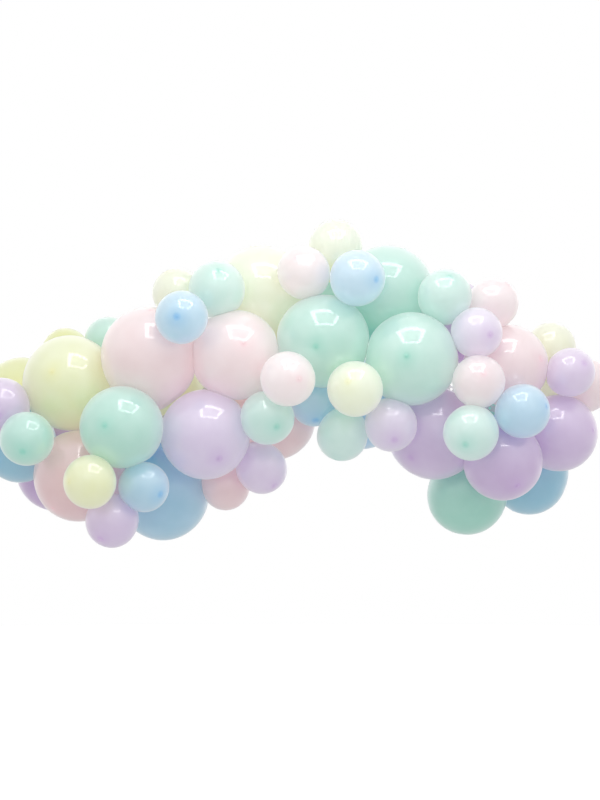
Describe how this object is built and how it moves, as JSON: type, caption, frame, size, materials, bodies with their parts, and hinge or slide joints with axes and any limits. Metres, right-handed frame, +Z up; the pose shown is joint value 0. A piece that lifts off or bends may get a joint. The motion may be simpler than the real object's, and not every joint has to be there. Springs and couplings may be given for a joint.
{
  "type": "balloon garland",
  "caption": "Swag of pastel latex balloons in two sizes, packed closely along a clear decorating strip and hung from it on a wall.",
  "frame": {"origin": "back face of the clear strip at the crown of the swag, where the garland is hung", "axes": "+X along the garland to the right as seen from in front, +Y towards the wall behind, +Z up"},
  "size_m": [1.521, 0.5422, 0.7453],
  "materials": {
    "latex_yellow": "semi-gloss",
    "latex_pink": "semi-gloss",
    "latex_mint": "semi-gloss",
    "latex_lilac": "semi-gloss",
    "latex_blue": "semi-gloss",
    "strip_clear": "clear gloss"
  },
  "bodies": {
    "root": {"decorating_strip": "strip_clear", "large_blue_01": "latex_blue", "large_blue_02": "latex_blue", "large_blue_03": "latex_blue", "large_blue_04": "latex_blue", "large_lilac_01": "latex_lilac", "large_lilac_02": "latex_lilac", "large_lilac_03": "latex_lilac", "large_lilac_04": "latex_lilac", "large_lilac_05": "latex_lilac", "large_lilac_06": "latex_lilac", "large_mint_01": "latex_mint", "large_mint_02": "latex_mint", "large_mint_03": "latex_mint", "large_mint_04": "latex_mint", "large_mint_05": "latex_mint", "large_pink_01": "latex_pink", "large_pink_02": "latex_pink", "large_pink_03": "latex_pink", "large_pink_04": "latex_pink", "large_pink_05": "latex_pink", "large_yellow_01": "latex_yellow", "large_yellow_02": "latex_yellow", "large_yellow_03": "latex_yellow", "large_yellow_04": "latex_yellow", "small_blue_01": "latex_blue", "small_blue_02": "latex_blue", "small_blue_03": "latex_blue", "small_blue_04": "latex_blue", "small_blue_05": "latex_blue", "small_lilac_01": "latex_lilac", "small_lilac_02": "latex_lilac", "small_lilac_03": "latex_lilac", "small_lilac_04": "latex_lilac", "small_lilac_05": "latex_lilac", "small_lilac_06": "latex_lilac", "small_mint_01": "latex_mint", "small_mint_02": "latex_mint", "small_mint_03": "latex_mint", "small_mint_04": "latex_mint", "small_mint_05": "latex_mint", "small_mint_06": "latex_mint", "small_mint_07": "latex_mint", "small_mint_08": "latex_mint", "small_mint_09": "latex_mint", "small_mint_10": "latex_mint", "small_pink_01": "latex_pink", "small_pink_02": "latex_pink", "small_pink_03": "latex_pink", "small_pink_04": "latex_pink", "small_pink_05": "latex_pink", "small_pink_06": "latex_pink", "small_yellow_01": "latex_yellow", "small_yellow_02": "latex_yellow", "small_yellow_03": "latex_yellow", "small_yellow_04": "latex_yellow", "small_yellow_05": "latex_yellow", "small_yellow_06": "latex_yellow", "small_yellow_07": "latex_yellow"}
  },
  "joints": []
}
